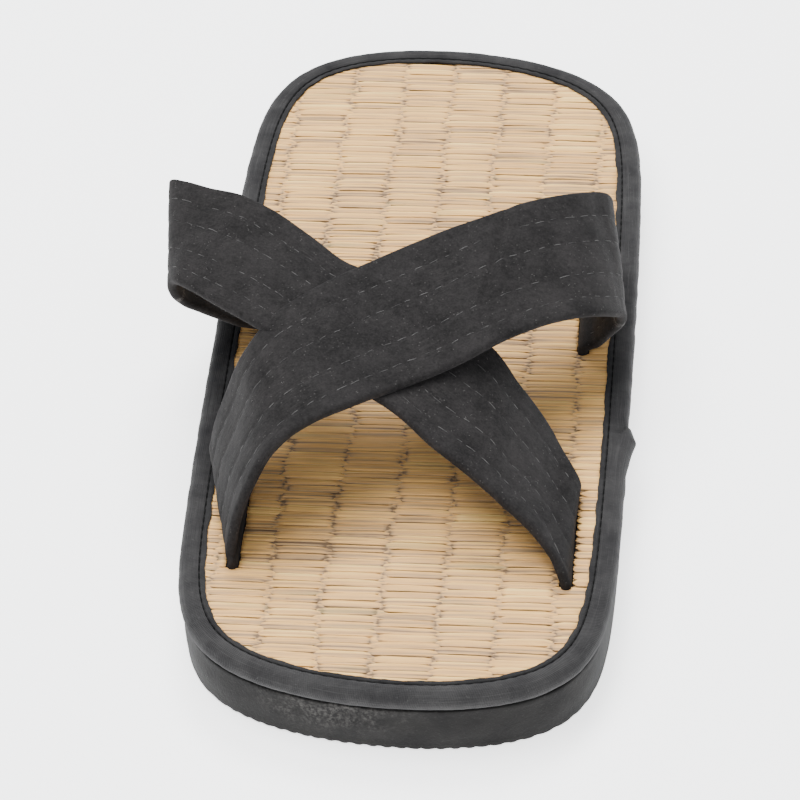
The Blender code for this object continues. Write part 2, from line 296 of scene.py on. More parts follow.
def clothMaterial(look):
    material, start, inputs = newMaterial("napped_strap_cloth")
    flat = start.node("TexCoord", out="UV")
    place = start.node("TexCoord", out="Object")
    clouds = place.cloudy(110, 5, 0.6)
    mottle = place.cloudy(620, 4, 0.7)
    fluff = place.cloudy(1700, 3, 0.7)
    rubbed = place.cloudy(60, 3, 0.55).over(0.45, 0.75)
    specks = place.cells(1000).over(0.08, 0.26)
    speckOn = place.cloudy(420, 3, 0.6).over(0.48, 0.64)
    brushed = flat.stretched(260, 1700, 1).cloudy(1.0, 3, 0.6)
    cover = clouds * 0.35 + mottle * 0.30 + fluff * 0.35
    colour = cover.ramp((0.40, look["dark"]), (0.60, look["light"]))
    colour = (rubbed * brushed.over(0.45, 0.70) * 0.45).blend(colour, look["rubbed"])
    colour = ((1 - specks) * speckOn * 0.4).blend(colour, look["speck"])
    # painted highlight: the cloth is drawn paler along the bend at the strap's side
    fold = start.node("Attribute", {"attribute_name": "fold"}, out="Fac")
    colour = (fold * fluff.over(0.38, 0.62) * 0.7).blend(colour, look["speck"])
    nap = (brushed + mottle).bump(0.35, 0.16 * mm)
    grain = place.cloudy(2300, 3, 0.75).bump(0.45, 0.12 * mm, nap)
    plug(inputs, {
        "Base Color": colour,
        "Roughness": 0.82 + mottle * 0.14,
        "Normal": grain,
        "Sheen Weight": 0.03,
        "Sheen Roughness": 0.5,
        "Specular IOR Level": 0.08,
    })
    return material


def threadMaterial(name, dark, light):
    material, start, inputs = newMaterial(name)
    place = start.node("TexCoord", out="Object")
    faded = place.cloudy(380, 2, 0.5)
    colour = faded.ramp((0.35, dark), (0.65, light))
    twist = place.stretched(3000, 3000, 3000).cloudy(1.0, 2, 0.5)
    plug(inputs, {
        "Base Color": colour,
        "Roughness": 0.8,
        "Normal": twist.bump(0.3, 0.05 * mm),
        "Specular IOR Level": 0.12,
    })
    return material


def plainMaterial(name, colour, roughness, glow):
    material, start, inputs = newMaterial(name)
    plug(inputs, {"Base Color": colour, "Roughness": roughness})
    plug(inputs, {"Emission Color": colour, "Emission Strength": glow})
    return material


def outline(count, inset=0.0):  # evenly spaced points of the plan, their inward ways and their runs
    angle = 2 * np.pi * (np.arange(last["fineSteps"]) + 0.5) / last["fineSteps"]
    heelwards = np.sin(angle) > 0
    squareness = np.where(heelwards, last["heelSquareness"], last["toeSquareness"])
    lean = np.where(heelwards, last["heelLean"], last["toeLean"])
    reach = np.abs(np.sin(angle)) ** (2 / squareness)
    narrowing = 1 - last["sideTaper"] * reach ** 2
    across = last["width"] / 2 * narrowing * np.cos(angle) + lean * reach ** squareness
    along = np.sign(np.sin(angle)) * last["length"] / 2 * reach
    fine = np.stack([across, along], 1)
    closed = np.vstack([fine, fine[:1]])
    runs = np.concatenate([[0.0], np.cumsum(np.linalg.norm(np.diff(closed, axis=0), axis=1))])
    wanted = runs[-1] * np.arange(count) / count
    points = np.stack([np.interp(wanted, runs, closed[:, 0]), np.interp(wanted, runs, closed[:, 1])], 1)
    tangent = np.roll(points, -1, 0) - np.roll(points, 1, 0)
    tangent /= np.linalg.norm(tangent, axis=1)[:, None]
    inward = np.stack([-tangent[:, 1], tangent[:, 0]], 1)
    return points + inward * inset, inward, np.append(wanted, runs[-1])


def ripple(place, wavelength, seed):  # smooth repeatable unevenness from -1 to 1 at an array of places
    dice = np.random.default_rng(seed)
    total = np.zeros(place.shape[:-1])
    for turn in range(7):
        way = dice.normal(size=place.shape[-1])
        way *= 2 * np.pi / (wavelength * dice.uniform(0.7, 1.5)) / np.linalg.norm(way)
        total += np.sin(place @ way + dice.uniform(0, 2 * np.pi))
    return total / 4


def gridFaces(rows, columns, closedRows, closedColumns):  # quads of a grid of points
    rowCount = rows if closedRows else rows - 1
    columnCount = columns if closedColumns else columns - 1
    row, column = np.meshgrid(np.arange(rowCount), np.arange(columnCount), indexing="ij")
    nextRow = (row + 1) % rows
    nextColumn = (column + 1) % columns
    corners = [row * columns + column, row * columns + nextColumn,
               nextRow * columns + nextColumn, nextRow * columns + column]
    return np.stack(corners, -1).reshape(-1, 4)


def gridFlat(runs, girths, rowCount, columnCount):  # the same quads laid flat, in metres
    corners = []
    for rowStep, columnStep in ((0, 0), (0, 1), (1, 1), (1, 0)):
        run = np.asarray(runs)[rowStep:rowStep + rowCount]
        girth = np.asarray(girths)[columnStep:columnStep + columnCount]
        corners.append(np.stack(np.meshgrid(run, girth, indexing="ij"), -1))
    return np.stack(corners, 2).reshape(-1, 2)


def addPiece(name, points, faces, material, replaced=(), flat=None, marks=None):
    mesh = bpy.data.meshes.new(name)
    mesh.from_pydata(np.asarray(points).reshape(-1, 3).tolist(), [], [list(face) for face in faces])
    if flat is not None:
        layer = mesh.uv_layers.new(name="flat")
        spare = len(mesh.loops) - len(flat)  # caps come last and need no place on the flat
        layer.data.foreach_set("uv", np.vstack([flat, np.zeros((spare, 2))]).ravel())
    for title, values in (marks or {}).items():
        mark = mesh.attributes.new(title, "FLOAT", "POINT")
        mark.data.foreach_set("value", np.asarray(values, dtype=np.float32).ravel())
    mesh.materials.append(material)
    mesh.shade_smooth()
    mesh.validate()
    piece = bpy.data.objects.new(name, mesh)
    bpy.context.scene.collection.objects.link(piece)
    turnOutward(mesh)
    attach(piece, "root")
    if replaced:
        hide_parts(*replaced)
    print("made", name, "with", sum(len(face.vertices) - 2 for face in mesh.polygons), "triangles")
    return piece


def turnOutward(mesh):
    edit = bmesh.new()
    edit.from_mesh(mesh)
    bmesh.ops.recalc_face_normals(edit, faces=edit.faces)
    edit.to_mesh(mesh)
    edit.free()


# the foam sole: smooth sides, a rounded foot edge and a zigzag tread
sole = {
    "stations": 760,
    "inset": 1.0 * mm,
    "edgeRadius": 1.0 * mm,
    "spineShare": 0.66,
    "treadPitch": 3.4 * mm,
    "treadDepth": 0.6 * mm,
    "zigzagLength": 22 * mm,
    "zigzagWidth": 3.0 * mm,
    "bottomSteps": 56,
    "sideBulge": 0.25 * mm,
    "look": {
        "dark": tone(24, 23, 23),
        "light": tone(36, 35, 34),
        "dust": tone(72, 70, 68),
        "dustAt": (-14 * mm, -134 * mm, 12 * mm * 2.6),
        "dustSize": 30 * mm,
    },
}


def treadHeight(points):  # how far the tread's grooves lie above the ground
    zigzag = np.abs((points[..., 1] / sole["zigzagLength"]) % 1.0 - 0.5) * 2 - 0.5
    phase = (points[..., 0] + zigzag * sole["zigzagWidth"]) / sole["treadPitch"]
    wave = 0.5 + 0.5 * np.cos(2 * np.pi * phase)
    return sole["treadDepth"] * np.clip((wave - 0.45) / 0.35, 0, 1)


def makeSole():
    points, inward, runs = outline(sole["stations"])
    spine = points * np.array([0.0, sole["spineShare"]])
    top = bindLow.z - 0.3 * mm
    rings = []
    girths = []

    def addRing(inset, share, height, tread=0.0):
        place = points + inward * inset
        place = place * (1 - share) + spine * share
        lift = treadHeight(place) * tread
        rings.append(np.column_stack([place, height + lift]))
        girths.append(0.0 if len(rings) < 2 else girths[-1] + np.linalg.norm(rings[-1][0] - rings[-2][0]))

    radius = sole["edgeRadius"]
    for step in range(sole["bottomSteps"]):
        share = 0.985 * (1 - step / (sole["bottomSteps"] - 1))
        addRing(sole["inset"] + radius, share, 0.0, 1.0)
    for step in range(1, 5):
        angle = math.pi / 2 * step / 4
        tread = 1 - step / 5
        addRing(sole["inset"] + radius * (1 - math.sin(angle)), 0.0, radius * (1 - math.cos(angle)), tread)
    sideSteps = 12
    for step in range(1, sideSteps + 1):
        share = step / sideSteps
        height = radius + (top - 0.4 * mm - radius) * share
        bulge = sole["sideBulge"] * math.sin(math.pi * share) ** 2
        addRing(sole["inset"] - bulge, 0.0, height)
    addRing(sole["inset"] + 0.15 * mm, 0.0, top - 0.1 * mm)
    addRing(sole["inset"] + 0.5 * mm, 0.0, top)
    addRing(7.0 * mm, 0.0, top)
    addRing(7.2 * mm, 0.0, soleHigh.z)
    addRing(7.2 * mm, 0.5, soleHigh.z)
    addRing(7.2 * mm, 0.985, soleHigh.z)
    body = np.stack(rings, 1)
    wall = np.clip((body[..., 2] - 1.5 * mm) / (2 * mm), 0, 1) * (body[..., 2] < top - 0.3 * mm)
    uneven = ripple(body, 14 * mm, 4) * 0.10 * mm + ripple(body, 3.5 * mm, 5) * 0.035 * mm
    body[..., :2] += inward[:, None, :] * (uneven * wall)[..., None]
    stations, levels = body.shape[:2]
    faces = gridFaces(stations, levels, True, False)
    flat = gridFlat(runs, girths, stations, levels - 1)
    caps = [np.arange(stations) * levels, np.arange(stations)[::-1] * levels + levels - 1]
    material = foamMaterial(sole["look"])
    addPiece("foam_sole", body, [*faces, *caps], material, ("sole",), flat)


# the edge binding: a ribbed tape rolled over the mat's edge, stitched down in a groove
binding = {
    "stations": 1400,
    "rollWidth": 5.4 * mm,
    "width": 6.8 * mm,
    "grooveWidth": 0.6 * mm,
    "grooveDepth": 0.5 * mm,
    "wall": 1.4 * mm,
    "tape": 0.8 * mm,
    "rollSteps": 26,
    "rollRoundness": 0.8,
    "stitch": 3.1 * mm,
    "scallop": 0.05 * mm,
    "waver": 0.26 * mm,
    "waverLength": 8 * mm,
    "lapHeight": 1.9 * mm,
    "lapAt": -27.5 * mm,
    "lapStep": 8.5 * mm,
    "lapTail": 13 * mm,
    "lapSharpness": 1.5,
    "creaseDepth": 0.45 * mm,
    "creaseStart": -2.5 * mm,
    "creaseSweep": 8.5 * mm,
    "look": {
        "rib": 0.58 * mm,
        "yarn": 0.5 * mm,
        "slant": 0.30,
        "dark": tone(36, 35, 36),
        "light": tone(56, 55, 55),
        # colour of the painted shade in the rib valleys
        "ribValleyShade": tone(20, 20, 20),
        "lint": tone(96, 95, 94),
        # colour of the painted shade in the groove, on the flange and in the lap's crease
        "flange": tone(12, 12, 12),
    },
    "thread": (tone(10, 10, 10), tone(22, 22, 22)),
}


def lapShare(points):  # the tape's overlap at the medial waist: a pointed bump, from 0 to 1
    past = binding["lapAt"] - points[..., 1]
    rise = np.clip(past / binding["lapStep"], 0, 1) ** binding["lapSharpness"]
    fade = np.clip(1 - (past - binding["lapStep"]) / binding["lapTail"], 0, 1) ** binding["lapSharpness"]
    return np.where((points[..., 0] > 0) & (past > 0), rise * np.minimum(fade, 1.0), 0.0)


def bindingProfile():  # (inset, height above the binding's foot, share of the lap) round the section
    height = bindHigh.z - bindLow.z
    roll = binding["rollWidth"]
    profile = []
    for step in range(5):
        profile.append((binding["width"] - (binding["width"] - roll / 2) * step / 5, 0.0, 0.0))
    for step in range(binding["rollSteps"] + 1):
        angle = math.pi * step / binding["rollSteps"]
        inset = roll / 2 * (1 - abs(math.sin(angle)) ** binding["rollRoundness"])
        profile.append((inset, height / 2 * (1 - math.cos(angle)), 1 - inset / roll))
    flange = height - 0.25 * mm
    for step in range(7):
        share = step / 6
        inset = roll + binding["grooveWidth"] * (share - 0.75)
        dip = binding["grooveDepth"] * abs(math.sin(math.pi * share)) ** 1.4
        profile.append((inset, height - 0.12 * mm - 0.13 * mm * share - dip, 0.0))
    inner = binding["width"]
    for step in range(1, 7):
        share = step / 6
        inset = roll + 0.18 * mm + (inner - roll - 0.48 * mm) * share
        profile.append((inset, flange + 0.08 * mm * math.sin(math.pi * share), 0.0))
    lip = 0.40 * mm
    for step in range(1, 5):
        angle = math.pi / 2 * step / 4
        profile.append((inner - 0.3 * mm + 0.3 * mm * math.sin(angle), flange - lip * (1 - math.cos(angle)), 0.0))
    profile.append((inner - 0.2 * mm, height - binding["tape"] - 0.15 * mm, 0.0))
    profile.append((binding["wall"], height - binding["tape"], 0.0))
    profile.append((binding["wall"], binding["tape"], 0.0))
    profile.append((inner, binding["tape"], 0.0))
    return profile


def makeBinding():
    points, inward, runs = outline(binding["stations"])
    profile = bindingProfile()
    stitches = round(runs[-1] / binding["stitch"])
    pull = 0.5 + 0.5 * np.cos(2 * np.pi * stitches * runs[:-1] / runs[-1])
    lap = lapShare(points) * binding["lapHeight"]
    rings = []
    girths = [0.0]
    waver = ripple(points, binding["waverLength"], 15) * binding["waver"]
    for index, (inset, height, share) in enumerate(profile):
        flangeShare = max(0.0, (inset - binding["rollWidth"]) / (binding["width"] - binding["rollWidth"]))
        upper = height > (bindHigh.z - bindLow.z) / 2
        edge = inset + flangeShare * upper * (binding["scallop"] * (pull - 0.5) * 2 + waver)
        place = points + inward * (edge - lap * share)[:, None]
        rise = np.full(len(points), bindLow.z + height)
        if upper and share == 0.0 and inset < binding["width"] - 0.5 * mm:
            rise -= pull * 0.12 * mm * (1 - flangeShare)
        rings.append(np.column_stack([place, rise]))
        if index:
            before = profile[index - 1]
            girths.append(girths[-1] + math.hypot(inset - before[0], height - before[1]))
    girths.append(girths[-1] + binding["width"] - binding["wall"])
    body = np.stack(rings, 1)
    shares = np.array([entry[2] for entry in profile])
    uneven = ripple(body, 9 * mm, 11) * 0.10 * mm + ripple(body, 2.8 * mm, 12) * 0.05 * mm
    pucker = pull[:, None] * np.clip(1 - np.abs(shares - 0.45) / 0.3, 0, 1) * 0.10 * mm
    body[..., :2] += inward[:, None, :] * ((uneven + pucker) * (shares > 0.05))[..., None]
    rise = np.clip((body[..., 2] - bindLow.z) / (bindHigh.z - bindLow.z) * 2 - 1, -1, 1)
    insets = np.array([entry[0] for entry in profile])
    crease = lapCrease(body, insets) * (shares > 0.05)
    body[..., :2] += inward[:, None, :] * (crease * np.sqrt(1 - rise ** 2))[..., None]
    body[..., 2] -= crease * rise
    stations, levels = body.shape[:2]
    faces = gridFaces(stations, levels, True, True)
    flat = gridFlat(runs, girths, stations, levels)
    # painted shade: full in the stitch groove, about a third on the flange beyond it, and some in the lap's crease
    grooveEnd = binding["rollWidth"] + binding["grooveWidth"] / 4
    inGroove = (insets > grooveEnd - binding["grooveWidth"]) & (insets < grooveEnd)
    flange = np.where(inGroove, 1.0, np.where(insets >= grooveEnd, 0.35, 0.0))
    flange = np.maximum(flange, crease / binding["creaseDepth"] * 0.45)
    material = tapeMaterial(binding["look"])
    addPiece("edge_tape", body, faces, material, ("edge_binding",), flat, {"flange": flange})
    makeBindingThread(points, inward, runs, stitches)


def lapCrease(body, insets):  # the curved cut edge of the tape's upper layer: a furrow, with a soft step behind it
    along = body[..., 1] - (binding["lapAt"] - binding["lapStep"])
    outward = np.clip(1 - insets / binding["rollWidth"], 0, 1)
    past = along - binding["creaseStart"] - outward * binding["creaseSweep"]
    furrow = np.exp(-(past / (0.8 * mm)) ** 2)
    step = (0.5 + 0.5 * np.tanh(past / (0.5 * mm))) * np.exp(-(past / (6 * mm)) ** 2)
    return np.where(body[..., 0] > 0, (furrow + step * 0.6) * binding["creaseDepth"], 0.0)


def tube(points, radius, sides=5, flatten=1.0):  # rings round a short line of points, ends drawn in
    points = np.asarray(points)
    tangent = np.gradient(points, axis=0)
    tangent /= np.linalg.norm(tangent, axis=1)[:, None]
    up = np.array([0.0, 0.0, 1.0])
    side = np.cross(tangent, up)
    length = np.linalg.norm(side, axis=1)[:, None]
    side = np.where(length > 0.05, side / np.maximum(length, 0.05), np.array([1.0, 0.0, 0.0]))
    normal = np.cross(side, tangent)
    share = np.linspace(-1, 1, len(points))
    girth = radius * np.sqrt(np.clip(1 - (np.abs(share) ** 4) * 0.85, 0.1, 1))
    angles = 2 * np.pi * np.arange(sides) / sides
    ring = side[:, None, :] * np.cos(angles)[None, :, None]
    ring = ring + normal[:, None, :] * (np.sin(angles) * flatten)[None, :, None]
    return points[:, None, :] + ring * girth[:, None, None]


class Bundle:
    # many small closed tubes joined in one mesh
    def __init__(self):
        self.points = []
        self.faces = []
        self.marks = {}
        self.count = 0

    def add(self, rings, **marks):
        rows, columns = rings.shape[:2]
        self.points.append(rings.reshape(-1, 3))
        faces = gridFaces(rows, columns, False, True) + self.count
        self.faces.extend(faces.tolist())
        self.faces.append(list(range(self.count, self.count + columns)))
        end = self.count + (rows - 1) * columns
        self.faces.append(list(range(end + columns - 1, end - 1, -1)))
        for name, values in marks.items():
            full = np.broadcast_to(np.asarray(values, dtype=float).reshape(rows, -1), (rows, columns))
            self.marks.setdefault(name, []).append(full.ravel())
        self.count += rows * columns

    def finish(self, name, material, replaced=()):
        marks = {title: np.concatenate(values) for title, values in self.marks.items()}
        return addPiece(name, np.vstack(self.points), self.faces, material, replaced, None, marks)


def makeBindingThread(points, inward, runs, stitches):
    bundle = Bundle()
    dice = np.random.default_rng(21)
    groove = binding["rollWidth"] - binding["grooveWidth"] / 4
    top = bindHigh.z - 0.50 * mm
    line = points + inward * groove
    for index in range(stitches):
        start = runs[-1] * (index + 0.12) / stitches
        share = start + np.linspace(0, 0.78, 5) * runs[-1] / stitches
        x = np.interp(share, runs[:-1], line[:, 0])
        y = np.interp(share, runs[:-1], line[:, 1])
        bow = 1 - np.linspace(-1, 1, 5) ** 2
        z = top + bow * 0.22 * mm - 0.14 * mm + dice.uniform(-0.04, 0.04) * mm
        bundle.add(tube(np.column_stack([x, y, z]), 0.20 * mm))
    dark, light = binding["thread"]
    bundle.finish("tape_stitches", threadMaterial("tape_thread", dark, light))


# the rush mat: flattened strands, each over one warp column and under the next
mat = {
    "turn": math.radians(0.8),
    "column": 14.4 * mm,
    "firstEdge": 13.1 * mm,
    "pitch": 1.29 * mm,
    "upWidth": 2.76 * mm,
    "downWidth": 1.30 * mm,
    "thickness": 0.47 * mm,
    "crossing": 4.6 * mm,
    "wander": 1.8 * mm,
    "drift": 0.7 * mm,
    # share of crossings with deeper painted shade
    "deepShadeShare": 0.30,
    "slitWidth": 2.9 * mm,
    "slitLength": 36.4 * mm,
    "trim": 0.35 * mm,
    "fray": 2.6 * mm,
    "columnReach": 6,
    "spread": (1.0, 0.64, 0.0, -0.68, -1.0, 0.0),  # a strand's section: across in half widths
    "crown": (0.0, 0.95, 0.80, 0.58, -0.25, -0.9),  # and up in half thicknesses
    "rib": (0.08, 0.22, 0.03, -0.06, -0.26, -0.3),  # painted light and shade: lighter on the side to the heel, darker on the side to the toe and below
    "split": (0.0, 0.0, -0.65, 0.10, 0.0, 0.0),  # a crease along the middle of some strands
    # painted shade in that crease, a little lighter on its toe side
    "splitShade": (0.0, 0.0, -0.32, 0.10, 0.0, 0.0),
    "top": matHigh.z + 0.22 * mm,
    "sink": 0.36 * mm,
    "edgeInset": 5.6 * mm,
    "boardTop": matHigh.z - 1.0 * mm,
    "look": {
        "stops": (
            (0.06, tone(112, 88, 62)),
            (0.20, tone(170, 137, 98)),
            (0.38, tone(210, 162, 103)),
            (0.58, tone(235, 181, 105)),
            (0.84, tone(251, 210, 130)),
        ),
        "green": tone(190, 168, 104),
        "spot": tone(134, 92, 52),
    },
    "boardLook": {"dark": tone(52, 38, 24), "light": tone(84, 62, 40)},
}


def weaveToRow(x, y):
    cosine, sine = math.cos(mat["turn"]), math.sin(mat["turn"])
    return x * cosine + y * sine, -x * sine + y * cosine


def strandRuns(y, ring):  # where one strand runs, in the weave's own x, cut at the edge and the slits
    half = len(ring) // 2
    ends = []
    for side in (-1, 1):
        x = side * last["width"] / 2
        for turn in range(3):
            rowX, rowY = weaveToRow(x, y)
            edge = ring[ring[:, 0] * side > 0]
            order = np.argsort(edge[:, 1])
            if not edge[order[0], 1] < rowY < edge[order[-1], 1]:
                return []
            rowX = np.interp(rowY, edge[order, 1], edge[order, 0])
            x = (rowX - y * math.sin(mat["turn"])) / math.cos(mat["turn"])
        ends.append(x)
    runs = [ends]
    for along in (slits["toeAlong"], slits["instepAlong"]):
        for side in (-1, 1):
            middle, place = slitPlace(side, along)
            rowY = weaveToRow(middle, y)[1]
            if abs(rowY - place) > mat["slitLength"] / 2:
                continue
            centre = (middle - y * math.sin(mat["turn"])) / math.cos(mat["turn"])
            cut = []
            for start, end in runs:
                if start < centre < end:
                    cut.append((start, centre - mat["slitWidth"] / 2))
                    cut.append((centre + mat["slitWidth"] / 2, end))
                else:
                    cut.append((start, end))
            runs = cut
    return runs


def columnEdges(y, wander):  # where this strand passes from over to under, one place for each column
    numbers = np.arange(-mat["columnReach"], mat["columnReach"] + 1)
    drift = np.sin(y / (19 * mm) + numbers * 1.7) + 0.6 * np.sin(y / (7 * mm) + numbers * 2.9)
    return mat["firstEdge"] + numbers * mat["column"] + drift * mat["drift"] * 0.6 + wander


def strandSamples(start, end, edges):  # sample places, close together where strands cross
    offsets = (-3.2, -1.7, -0.9, -0.3, 0.3, 0.9, 1.7, 3.2, 7.2)
    places = sorted(edge + offset * mm for edge in edges for offset in offsets)
    near = 0.25 * mm
    inside = [place for place in places if start + near < place < end - near]
    return np.array([start, *inside, end])


def strandRings(y, samples, index, edges, cells, uneven, torn):
    number = np.searchsorted(edges, samples) - 1
    share = (samples - edges[number]) / (edges[number + 1] - edges[number])
    blend = mat["crossing"] / 2 / mat["column"]
    isUp = (number + index) % 2 == 0
    wasUp = np.where(share < 0.5, ~isUp, isUp)
    nextUp = np.where(share < 0.5, isUp, ~isUp)
    fromEdge = np.where(share < 0.5, share, share - 1)
    passing = np.clip(fromEdge / blend, -1, 1) * 0.5 + 0.5
    passing = passing * passing * (3 - 2 * passing)
    lift = wasUp * (1 - passing) + nextUp * passing
    cell = cells[number, index]
    fullness = lift * (0.90 + 0.22 * cell)
    width = mat["downWidth"] + (mat["upWidth"] - mat["downWidth"]) * fullness
    if torn:
        width = width * np.clip(0.15 + (samples - samples[0]) / torn, 0, 1)
    height = mat["top"] - mat["thickness"] / 2 - mat["sink"] * (1 - lift)
    height = height + (cell - 0.5) * 0.14 * mm * lift + 0.06 * mm * np.sin(np.pi * share) * lift
    centre = y + uneven(samples) + (cell - 0.5) * 0.22 * mm * lift
    ringY = centre[:, None] + np.array(mat["spread"]) * width[:, None] / 2
    creased = ((cell * 53) % 1)[:, None]
    crown = np.array(mat["crown"]) + np.array(mat["split"]) * creased
    ringZ = height[:, None] + crown * mat["thickness"] / 2
    rowX, rowY = weaveToRow(np.broadcast_to(samples[:, None], ringY.shape), ringY)
    pucker = np.exp(-(fromEdge / (blend * 0.35)) ** 2)
    isDark = (cell * 97) % 1 < mat["deepShadeShare"]
    # the strand's own random tone, with painted shade where it dives under its neighbours and at the crossings,
    # deeper at some
    shade = 0.47 + (cell - 0.5) * 0.22 - (1 - lift) * 0.14 - pucker * (0.05 + 0.26 * isDark)
    # painted light and shade across each strand, and painted shade in the crease along some strands
    shade = shade[:, None] + np.array(mat["rib"]) + np.array(mat["splitShade"]) * creased
    return np.stack([rowX, rowY, ringZ], -1), shade


def makeMat():
    ring = outline(1200, mat["edgeInset"])[0]
    dice = np.random.default_rng(7)
    bundle = Bundle()
    count = int(last["length"] / mat["pitch"])
    columns = 2 * mat["columnReach"] + 1
    cells = dice.uniform(0, 1, (columns, count + 2))
    patches = dice.uniform(0, 1, (columns, count // 4 + 2))
    cells = cells * 0.6 + np.repeat(patches, 4, axis=1)[:, :count + 2] * 0.4
    for index in range(count + 1):
        y = -last["length"] / 2 + (index + 0.5) * mat["pitch"]
        phase = dice.uniform(0, 2 * np.pi, 3)
        swing = dice.uniform(0.3, 1.0, 3) * 0.14 * mm
        own = dice.normal(0, 0.05)

        def uneven(x):
            total = swing[0] * np.sin(x / (9 * mm) + phase[0])
            total = total + swing[1] * np.sin(x / (4 * mm) + phase[1])
            return total + 0.25 * mm * np.sin(x / (30 * mm) + y / (50 * mm))

        edges = columnEdges(y, dice.uniform(-0.5, 0.5, columns) * mat["wander"])
        runs = strandRuns(y, ring)
        for start, end in runs:
            frayed = start > slits["across"] / 2 and y < slits["toeAlong"] / 2  # beside the medial toe slit
            start += dice.uniform(0.0, mat["trim"])
            end -= dice.uniform(0.0, mat["trim"])
            if end - start < 1.2 * mm:
                continue
            samples = strandSamples(start, end, edges)
            torn = dice.uniform(0.1, 1.0) * mat["fray"] if frayed else 0.0
            if frayed:
                samples = np.union1d(samples, start + torn * np.array([0.3, 0.6, 1.0]))
            rings, shade = strandRings(y, samples, index, edges, cells, uneven, torn)
            bundle.add(rings, shade=shade + own, strand=np.full(len(samples), dice.uniform(0, 20)))
    bundle.finish("rush_weave", rushMaterial(mat["look"]), ("insole_mat",))
    makeBoard()


def makeBoard():  # the thin board that the rush is laid on, with the same slits
    ring = outline(220, binding["wall"] + 0.3 * mm)[0]
    edit = bmesh.new()
    low = [edit.verts.new((x, y, matLow.z)) for x, y in ring]
    high = [edit.verts.new((x, y, mat["boardTop"])) for x, y in ring]
    edit.faces.new(low[::-1])
    edit.faces.new(high)
    for index in range(len(ring)):
        after = (index + 1) % len(ring)
        edit.faces.new((low[index], low[after], high[after], high[index]))
    mesh = bpy.data.meshes.new("mat_board")
    edit.to_mesh(mesh)
    edit.free()
    board = bpy.data.objects.new("mat_board", mesh)
    bpy.context.scene.collection.objects.link(board)
    cutters = []
    for along in (slits["toeAlong"], slits["instepAlong"]):
        for side in (-1, 1):
            bpy.ops.mesh.primitive_cube_add(size=1.0, location=(*slitPlace(side, along), matLow.z))
            cutter = bpy.context.object
            cutter.scale = (slits["width"], slits["length"], 10 * mm)
            cut = board.modifiers.new("slit", "BOOLEAN")
            cut.operation = "DIFFERENCE"
            cut.object = cutter
            cutters.append(cutter)
    bpy.context.view_layer.update()
    evaluated = board.evaluated_get(bpy.context.evaluated_depsgraph_get())
    board.data = bpy.data.meshes.new_from_object(evaluated)
    board.modifiers.clear()
    for cutter in cutters:
        bpy.data.objects.remove(cutter, do_unlink=True)
    board.data.materials.clear()
    board.data.materials.append(boardMaterial(mat["boardLook"]))
    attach(board, "root")
    print("made mat_board")


# the two straps, from the same sections as the solids
# each row is across, along and up as shares, then swing and tilt in degrees and the breadth's share
strap = {
    "width": 40 * mm,
    "thickness": 2.7 * mm,
    "edgeRadius": 1.1 * mm,
    "crown": 37 * mm,
    "legRise": 0.8 * mm,
    "legGap": 0.3 * mm,
    "stepsPerRow": 14,
    "faceSteps": 50,
    "quiltRows": (-14.6 * mm, -7.0 * mm, 3.6 * mm, 12.0 * mm),
    "quiltDepth": 0.32 * mm,
    "quiltSpread": 0.9 * mm,
    "stitch": 4.3 * mm,
    "stitchShare": 0.86,
    "lintCount": 70,
    "foldWidth": 0.9 * mm,  # width of the painted highlight, paler along the bend at the side
    "look": {
        "dark": tone(23, 22, 22),
        "light": tone(43, 41, 41),
        "rubbed": tone(54, 52, 51),
        "speck": tone(96, 94, 92),
    },
    "thread": (tone(44, 43, 43), tone(86, 85, 84)),
    "lint": (tone(64, 63, 62), tone(110, 108, 106)),
}

topStrap = {
    "name": "top_strap",
    "toeSide": -1,
    "foldShare": 0.862,
    "seed": 31,
    "rows": (
        (-1.055, 0.030, 0.125, 11.5, 2.0, 0.95),
        (-1.045, 0.060, 0.268, 13.0, -2.0, 0.98),
        (-0.953, 0.109, 0.558, 13.0, -1.0, 1.00),
        (-0.836, 0.155, 0.800, 16.5, 1.0, 0.95),
        (-0.660, 0.233, 0.916, 20.0, 4.5, 0.98),
        (-0.450, 0.320, 0.928, 21.0, 8.0, 1.02),
        (-0.235, 0.406, 0.915, 21.0, 9.5, 1.04),
        (-0.015, 0.475, 0.920, 21.0, 10.5, 1.05),
        (0.210, 0.542, 0.945, 21.0, 10.5, 1.04),
        (0.430, 0.606, 0.980, 20.5, 11.0, 1.00),
        (0.650, 0.667, 0.990, 20.0, 11.5, 0.99),
        (0.868, 0.731, 0.955, 18.0, 12.5, 1.00),
        (1.043, 0.792, 0.878, 13.5, 15.0, 1.00),
        (1.133, 0.844, 0.786, 10.5, 15.5, 1.01),
        (1.178, 0.878, 0.710, 8.7, 15.7, 1.00),
        (1.191, 0.894, 0.651, 8.1, 15.7, 1.00),
        (1.186, 0.911, 0.576, 7.5, 15.0, 1.00),
        (1.125, 0.939, 0.361, 5.3, 9.0, 1.00),
        (1.065, 0.965, 0.148, 3.0, 2.0, 0.97),
    ),
    # run as a share, across in mm, turn in degrees, length and width in mm, depth in mm
    "creases": (
        (0.614, 5.5, 30, 15, 1.1, -0.85),
        (0.632, 6.0, 30, 14, 1.8, 0.45),
        (0.20, -6, -15, 20, 3.0, -0.35),
        (0.42, -10, 25, 16, 2.5, -0.20),
        (0.80, 6, -8, 22, 3.0, -0.35),
    ),
}

